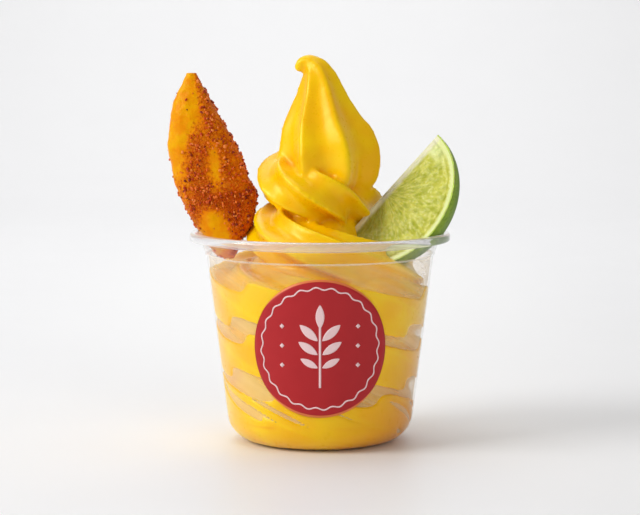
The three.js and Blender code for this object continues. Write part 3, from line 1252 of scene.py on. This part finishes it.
MANGO_PATCHES = (
    Patch(-44.0, 106.0, 5.0, 9.0, 0.55),
    Patch(-42.0, 93.0, 7.0, 7.0, 0.45),
    Patch(-37.0, 88.0, 9.0, 4.0, 0.5),
    Patch(-32.0, 82.0, 5.0, 6.0, 0.3),
    Patch(-50.0, 124.0, 3.5, 12.0, -0.6),
    Patch(-53.0, 109.0, 3.5, 9.0, -0.45),
    Patch(-38.5, 79.0, 4.5, 4.5, -0.75),
    Patch(-46.0, 82.0, 3.0, 5.0, 0.45),
    Patch(-36.0, 74.0, 4.5, 4.0, -0.4),
    Patch(-38.3, 101.0, 2.0, 10.0, -0.55),
    Patch(-45.5, 119.0, 2.2, 6.0, -0.15),
)


@dataclass
class MangoWedge:
    """A spear of mango with a round outside on the left and a squarely cut right side."""

    stations: tuple[Station, ...] = MANGO_STATIONS
    patches: tuple[Patch, ...] = MANGO_PATCHES
    y: float = 2.5
    depth: float = 12.5
    squareness: tuple[float, float] = (0.55, 0.7)
    foot_depth: float = 0.9
    sides: int = 120
    steps: int = 170
    cover: float = 0.3
    right_cover: float = 0.34
    ridge_x: tuple[float, float] = (-33.5, -45.5)
    ridge_z: tuple[float, float] = (82.0, 134.0)
    clump_scale: float = 0.35
    clump_edge: tuple[float, float] = (-0.3, 0.45)
    sparse: float = 0.25
    stray: float = 0.008
    grains: int = 1500
    grain_least: float = 0.2
    grain_most: float = 0.75
    flakes: int = 140
    flake_most: float = 1.05
    seed: int = 5
    flesh_finish: MangoFinish = field(default_factory=MangoFinish)
    chilli_finish: ChilliFinish = field(default_factory=ChilliFinish)

    def point(self, curve: StationCurve, part: float, along: float) -> Vector:
        """Gives a point on the wedge.

        Args:
            curve: The path of its middle.
            part: Part of a turn from the right towards the front.
            along: Part of the length, from the foot.

        Returns:
            The point.
        """
        at = curve.at(along)
        angle = TURN * part
        across, front = math.cos(angle), math.sin(angle)
        square_across, square_front = self.squareness if across > 0.0 else (1.0, 1.0)
        thick = min(self.depth / 2.0, self.foot_depth + 0.55 * at.z)
        x = at.z * math.copysign(abs(across) ** square_across, across)
        y = thick * math.copysign(abs(front) ** square_front, front)
        return Vector((at.x + x, self.y - y, at.y))

    def dust(self, at: Vector) -> float:
        """Tells how thickly chilli lies on a place of the wedge, from 0 to about 1.

        Args:
            at: The place.

        Returns:
            The amount.
        """
        amount = self.cover + sum(patch.at(at.x, at.z) for patch in self.patches)
        right = smoothstep(at.x, self.ridge(at.z) - 1.0, self.ridge(at.z) + 2.0)
        return min(max(amount + self.right_cover * right, 0.0), 1.0)

    def crowd(self, at: Vector) -> float:
        """Tells how many grains lie round a place: clumps where the dust is thick."""
        clump = smoothstep(noise.noise(at * self.clump_scale), *self.clump_edge)
        return (self.dust(at) * lerp(self.sparse, 1.0, clump)) ** 2.0 + self.stray

    def ridge(self, z: float) -> float:
        """Returns where the ridge between the front and the right side runs."""
        return lerp(*self.ridge_x, smoothstep(z, *self.ridge_z))

    def body(self, curve: StationCurve) -> bpy.types.Object:
        """Builds the flesh, uneven as if cut by hand."""
        bm = swept(self.sides, self.steps, lambda part, along: self.point(curve, part, along))
        bm.normal_update()
        for vertex in bm.verts:
            wave = noise.noise(vertex.co * 0.12) * 0.7 + noise.noise(vertex.co * 0.4) * 0.3
            lumps = noise.noise(vertex.co * 1.1) * 0.32 * self.dust(vertex.co)
            vertex.co += vertex.normal * (wave - 0.2 + lumps)
        layer = bm.verts.layers.float.new("dust")
        for vertex in bm.verts:
            vertex[layer] = self.dust(vertex.co)
        piece = finished(bm, "mango_flesh", [self.flesh_finish.material()])
        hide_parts("mango_wedge")
        return piece

    def chilli(self, flesh: bpy.types.Object) -> bpy.types.Object:
        """Scatters grains over the flesh, most where the dusting is heaviest.

        Args:
            flesh: The finished flesh.

        Returns:
            The grains as one piece.
        """
        picked = random.Random(self.seed)
        faces = [(face.center / MM, face.normal.copy(), face.area) for face in flesh.data.polygons]
        weights = [area * self.crowd(at) for at, _, area in faces]
        spots = picked.choices(faces, weights, k=self.grains + self.flakes)
        places = []
        for index, (at, normal, _) in enumerate(spots):
            most = self.grain_most if index < self.grains else self.flake_most
            size = lerp(self.grain_least, most, picked.random() ** 1.6)
            turn = Euler([TURN * picked.random() for _ in range(3)]).to_matrix().to_4x4()
            squeeze = Matrix.Diagonal((size, size * lerp(0.55, 1.0, picked.random()), 0.6 * size, 1.0))
            places.append(Matrix.Translation(at + normal * size * 0.25) @ turn @ squeeze)
        grain = bmesh.new()
        bmesh.ops.create_icosphere(grain, subdivisions=1, radius=1.0)
        grain.verts.index_update()
        bm = strewn(grain, places, "tone", [picked.random() for _ in places])
        piece = finished(bm, "chilli_grains", [self.chilli_finish.material()])
        return piece

    def build(self) -> list[bpy.types.Object]:
        """Builds the flesh and its chilli."""
        flesh = self.body(StationCurve(self.stations))
        return [flesh, self.chilli(flesh)]


# ---- Lime wedge ----


@dataclass
class LimeWedge:
    """One sixth of a lime, its core edge falling to the left and its rind to the right."""

    centre: tuple[float, float, float] = (23.4, -7.0, 90.9)
    half_length: float = 28.7
    radius: float = 25.6
    core_tilt: float = math.radians(41.9)
    angle: float = math.radians(62.0)
    face_turn: float = math.radians(35.0)
    steps: int = 150
    rings: int = 90
    rind_steps: int = 60
    strand_height: float = 0.15
    bead_height: float = 0.4
    sunk: float = 0.1
    seam: float = 0.01
    sharp: float = math.radians(40.0)
    finish: LimeFinish = field(default_factory=LimeFinish)

    def to_part(self) -> Matrix:
        """Returns the matrix from the lime's own frame, its core upright, to the part's."""
        roll = Matrix.Rotation(self.angle / 2.0 - self.face_turn, 4, "Z")
        tilt = Matrix.Rotation(self.core_tilt, 4, "Y")
        return Matrix.Translation(self.centre) @ tilt @ roll

    def cut(self, side: float) -> bmesh.types.BMesh:
        """Makes one cut face, half an ellipse with its strands of flesh standing proud.

        Args:
            side: 1 or -1, for the face turned left or right round the core.

        Returns:
            The face.
        """
        bm = bmesh.new()
        bmesh.ops.create_grid(bm, x_segments=self.rings, y_segments=self.steps, size=0.5)
        reach_layer = bm.verts.layers.float.new("reach")
        bearing_layer = bm.verts.layers.float.new("bearing")
        heading = Vector((*polar(1.0, side * self.angle / 2.0), 0.0))
        proud = UP.cross(heading) * side
        for vertex in bm.verts:
            reach = vertex.co.x + 0.5
            bearing = (vertex.co.y + 0.5) * HALF
            out = heading * self.radius * reach * math.sin(bearing)
            flat = out + UP * self.half_length * reach * math.cos(bearing)
            vertex[reach_layer] = reach
            vertex[bearing_layer] = bearing
            inside = smoothstep(reach, 0.1, 0.3) * (1.0 - smoothstep(reach, 0.86, 0.92))
            inside *= smoothstep(math.sin(bearing), 0.08, 0.25)
            strand = noise.noise(Vector((bearing * 13.0, reach * 2.5, side * 7.0)))
            bead = noise.noise(flat * 0.55 + Vector((side * 9.0, 0.0, 0.0)))
            rise = self.strand_height * strand + self.bead_height * bead - self.sunk
            vertex.co = flat + proud * rise * inside
        return bm

    def rind(self) -> bmesh.types.BMesh:
        """Makes the outside, a sector of an ellipsoid."""
        bm = bmesh.new()
        bmesh.ops.create_grid(bm, x_segments=self.rind_steps, y_segments=self.steps, size=0.5)
        reach_layer = bm.verts.layers.float.new("reach")
        for vertex in bm.verts:
            # On the rind, reach is 1 at the middle of the skin and 0 at the cut faces; the finish paints
            # shade with it.
            vertex[reach_layer] = math.cos(HALF * vertex.co.x)
            azimuth = vertex.co.x * self.angle
            bearing = (vertex.co.y + 0.5) * HALF
            out = self.radius * math.sin(bearing)
            vertex.co = Vector((*polar(out, azimuth), self.half_length * math.cos(bearing)))
        for face in bm.faces:
            face.material_index = 1
        return bm

    def build(self) -> bpy.types.Object:
        """Builds the wedge, which stands for the part's own."""
        bm = joined([self.cut(1.0), self.cut(-1.0), self.rind()])
        bmesh.ops.remove_doubles(bm, verts=bm.verts, dist=self.seam)
        bmesh.ops.recalc_face_normals(bm, faces=bm.faces)
        bmesh.ops.transform(bm, matrix=self.to_part(), verts=bm.verts)
        piece = finished(bm, "lime_slice", [self.finish.cut_face(), self.finish.skin()])
        piece.data.set_sharp_from_angle(angle=self.sharp)
        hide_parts("lime_wedge")
        return piece


# ---- Sticker ----


Place = Callable[[float, float], tuple[float, float]]


@dataclass
class Sticker:
    """The round sticker and its plain print of leaves, bent to the wall."""

    cup: Cup
    radius: float = 24.8
    middle_z: float = 38.6
    lift: float = 0.03
    paper: float = 0.2
    ink: float = 0.04
    line: float = 0.55
    border: float = 21.6
    waves: int = 24
    wave: float = 0.45
    stem_width: float = 0.8
    stem_ends: tuple[float, float] = (-14.0, 8.0)
    leaf_width: float = 0.36
    stalk: float = 0.12
    diamond_x: float = 13.6
    diamond_ys: tuple[float, ...] = (-6.0, 1.0, 8.0)
    diamond_size: float = 0.9
    leaves: tuple[tuple[float, float, float, float], ...] = (
        (0.0, 6.2, 8.6, 0.0),
        (0.0, 2.2, 8.6, 48.0),
        (0.0, -2.6, 8.2, 56.0),
        (0.0, -7.2, 7.0, 62.0),
    )
    finish: StickerFinish = field(default_factory=StickerFinish)

    def bent(self, bm: bmesh.types.BMesh) -> bmesh.types.BMesh:
        """Wraps a flat shape in X and Y, thick in Z, round the front of the wall."""
        for vertex in bm.verts:
            z = self.middle_z + vertex.co.y
            radius = self.cup.wall_radius(z) + vertex.co.z
            vertex.co = Vector((*polar(radius, vertex.co.x / radius - QUARTER), z))
        bmesh.ops.recalc_face_normals(bm, faces=bm.faces)
        return bm

    def sheet(self, columns: int, rows: int, place: Place, thick: float, lift: float) -> bmesh.types.BMesh:
        """Makes a flat printed shape out of a grid.

        Args:
            columns: Faces across.
            rows: Faces up.
            place: Gives (x, y) for each part of the columns and rows, 0 to 1.
            thick: Its thickness.
            lift: Height of its back above the wall.

        Returns:
            The shape, still flat.
        """
        bm = grid(columns, rows, lambda across, up: Vector((*place(across, up), lift)))
        bmesh.ops.remove_doubles(bm, verts=bm.verts, dist=WELD)
        raised = bmesh.ops.extrude_face_region(bm, geom=bm.faces[:])["geom"]
        top = [item for item in raised if isinstance(item, bmesh.types.BMVert)]
        bmesh.ops.translate(bm, vec=(0.0, 0.0, thick), verts=top)
        return bm

    def printed(self, columns: int, rows: int, place: Place) -> bmesh.types.BMesh:
        """Makes a flat shape of ink that lies on the paper."""
        return self.sheet(columns, rows, place, self.ink, self.lift + self.paper)

    def disc(self) -> bmesh.types.BMesh:
        """Makes the round paper."""
        return self.sheet(
            128,
            16,
            lambda part, ring: polar(self.radius * ring, TURN * part),
            self.paper,
            self.lift,
        )

    def leaf(self, x: float, y: float, length: float, tilt: float) -> bmesh.types.BMesh:
        """Makes one leaf.

        Args:
            x: Where its stalk starts, across.
            y: Where its stalk starts, up.
            length: Its length.
            tilt: Its lean from upright, in degrees, to the right.

        Returns:
            The leaf, still flat.
        """
        sine, cosine = math.sin(math.radians(tilt)), math.cos(math.radians(tilt))

        def place(across: float, along: float) -> tuple[float, float]:
            """Gives a point of a pointed oval."""
            wide = self.leaf_width * length * math.sin(HALF * along) ** 0.8 * (across - 0.5)
            up = length * (self.stalk + along)
            return x + up * sine + wide * cosine, y + up * cosine - wide * sine

        return self.printed(6, 16, place)

    def ring(self) -> bmesh.types.BMesh:
        """Makes the border line, which waves in and out."""

        def place(part: float, over: float) -> tuple[float, float]:
            """Gives a point of the line."""
            swing = self.wave * math.sin(TURN * self.waves * part)
            return polar(self.border + swing + self.line * (over - 0.5), TURN * part)

        return self.printed(180, 1, place)

    def stem(self) -> bmesh.types.BMesh:
        """Makes the upright stem of the sprig."""
        low, high = self.stem_ends
        return self.printed(
            2, 24, lambda across, along: (self.stem_width * (across - 0.5), lerp(low, high, along))
        )

    def diamond(self, x: float, y: float) -> bmesh.types.BMesh:
        """Makes a small diamond."""
        size = self.diamond_size
        return self.printed(
            2, 2, lambda across, up: (x + size * (across + up - 1.0), y + size * (up - across))
        )

    def build(self) -> list[bpy.types.Object]:
        """Builds the paper and its print."""
        centre = Vector((0.0, 0.0, self.middle_z))
        paper = finished(self.bent(self.disc()), "sticker", [self.finish.paper(self.radius, centre)])
        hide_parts("label")
        shapes = [self.ring(), self.stem()]
        for x, y, length, tilt in self.leaves:
            shapes.append(self.leaf(x, y, length, tilt))
            if tilt:
                shapes.append(self.leaf(x, y, length, -tilt))
        for side in (-1.0, 1.0):
            shapes += [self.diamond(side * self.diamond_x, y) for y in self.diamond_ys]
        ink = finished(self.bent(joined(shapes)), "sticker_print", [self.finish.ink()])
        return [paper, ink]


# ---- Stage ----


class Softbox(Enum):
    """The studio's lights: name, place, target, width, height, power and tint."""

    KEY = ("key", (-1.1, -0.45, 0.72), (0.0, 0.0, 0.08), 0.7, 0.7, 11.5, WHITE)
    FILL = ("fill", (0.6, -1.1, 0.5), (0.0, 0.0, 0.08), 0.6, 0.6, 2.5, (1.0, 0.95, 0.88))
    STRIP = ("strip", (0.7, 0.5, 0.3), (0.0, 0.0, 0.06), 0.03, 0.6, 0.08, WHITE)
    TOP = ("top", (-0.2, 0.2, 1.1), (0.0, 0.0, 0.1), 0.8, 0.8, 3.4, WHITE)
    BACKDROP = ("backdrop", (0.0, 0.9, 1.0), (0.0, 1.5, 0.0), 0.6, 0.6, 4.6, WHITE)


@dataclass
class Studio:
    """The pale sweep, the lights and the camera at the photograph's angle."""

    distance: float = 0.8
    target_z: float = 0.067
    pitch: float = math.radians(5.8)
    lens: float = 123.1
    sensor: float = 36.0
    floor_colour: Colour = linear(242, 242, 243)
    floor_light: Colour = linear(244, 244, 245)
    # Painted light: the paler colour of the pool behind the cup.
    painted_light_pool: Colour = linear(250, 250, 250)
    light_pool_middle: tuple[float, float, float] = (0.0, 450.0, 0.0)
    light_pool_size: tuple[float, float, float] = (190.0, 620.0, 1000.0)
    sweep_width: float = 9.0
    sweep_length: float = 10.0
    floor_front: float = -6.0
    floor_length: float = 7.0
    bend: float = 0.7
    world_strength: float = 0.33

    def sweep_point(self, across: float, along: float) -> Vector:
        """Gives a point of the sweep: a flat floor, a bend and an upright back.

        Args:
            across: Part of its width, from the left.
            along: Part of its length, from the front.

        Returns:
            The point, in metres.
        """
        run = self.sweep_length * along
        turn = min(max((run - self.floor_length) / self.bend, 0.0), QUARTER)
        rise = max(run - self.floor_length - self.bend * QUARTER, 0.0)
        y = self.floor_front + min(run, self.floor_length) + self.bend * math.sin(turn)
        z = self.bend * (1.0 - math.cos(turn)) + rise
        return Vector((self.sweep_width * (across - 0.5), y, z))

    def sweep(self) -> bpy.types.Object:
        """Builds the floor, which rises smoothly into the backdrop."""
        bm = grid(8, 160, self.sweep_point)
        mesh = bpy.data.meshes.new("sweep")
        bm.to_mesh(mesh)
        bm.free()
        mesh.shade_smooth()
        paint = Paint("sweep", Roughness=0.45, Specular_IOR_Level=0.3)
        grain = paint.noise(paint.place(), 0.02, 2.0)
        ground = paint.mix(grain, self.floor_colour, self.floor_light)
        # Painted light: the sweep is painted paler in a pool behind the cup.
        across, back, _ = paint.axes(paint.place(self.light_pool_middle, scale=self.light_pool_size))
        far = (across**2.0 + back**2.0) ** 0.5
        paint.feed("Base Color", paint.mix(1.0 - far.between(0.2, 1.0), ground, self.painted_light_pool))
        mesh.materials.append(paint.material)
        floor = bpy.data.objects.new("sweep", mesh)
        bpy.context.scene.collection.objects.link(floor)
        return floor

    def lights(self) -> None:
        """Hangs the softboxes and sets the world's even light."""
        for box in Softbox:
            name, place, target, width, height, power, tint = box.value
            lamp = bpy.data.lights.new(name, "AREA")
            lamp.shape = "RECTANGLE"
            lamp.size = width
            lamp.size_y = height
            lamp.energy = power
            lamp.color = tint
            light = bpy.data.objects.new(name, lamp)
            light.location = place
            # The fill lifts the shadows without a reflection of its own.
            light.visible_glossy = box is not Softbox.FILL
            way = Vector(target) - Vector(place)
            light.rotation_euler = way.to_track_quat("-Z", "Y").to_euler()
            bpy.context.scene.collection.objects.link(light)
        world = bpy.data.worlds.new("studio")
        world.use_nodes = True
        ground = world.node_tree.nodes["Background"]
        ground.inputs["Color"].default_value = (*WHITE, 1.0)
        ground.inputs["Strength"].default_value = self.world_strength
        bpy.context.scene.world = world

    def camera(self) -> None:
        """Places the camera, looking slightly down on the front of the cup."""
        lens = bpy.data.cameras.new("camera")
        lens.sensor_width = self.sensor
        lens.lens = self.lens
        lens.clip_start = 0.05
        camera = bpy.data.objects.new("camera", lens)
        high = self.target_z + self.distance * math.sin(self.pitch)
        camera.location = (0.0, -self.distance * math.cos(self.pitch), high)
        camera.rotation_euler = (QUARTER - self.pitch, 0.0, 0.0)
        bpy.context.scene.collection.objects.link(camera)
        bpy.context.scene.camera = camera

    def build(self) -> None:
        """Builds the whole studio."""
        self.sweep()
        self.lights()
        self.camera()
        bpy.context.scene.view_settings.view_transform = "Standard"


def main() -> None:
    """Builds every piece of the cup and the studio."""
    logging.basicConfig(level=logging.INFO, format="%(name)s: %(message)s")
    cup = Cup()
    cup.build()
    SoftServe(cup).build()
    MangoWedge().build()
    LimeWedge().build()
    Sticker(cup).build()
    Studio().build()


if __name__ == "__main__":
    main()
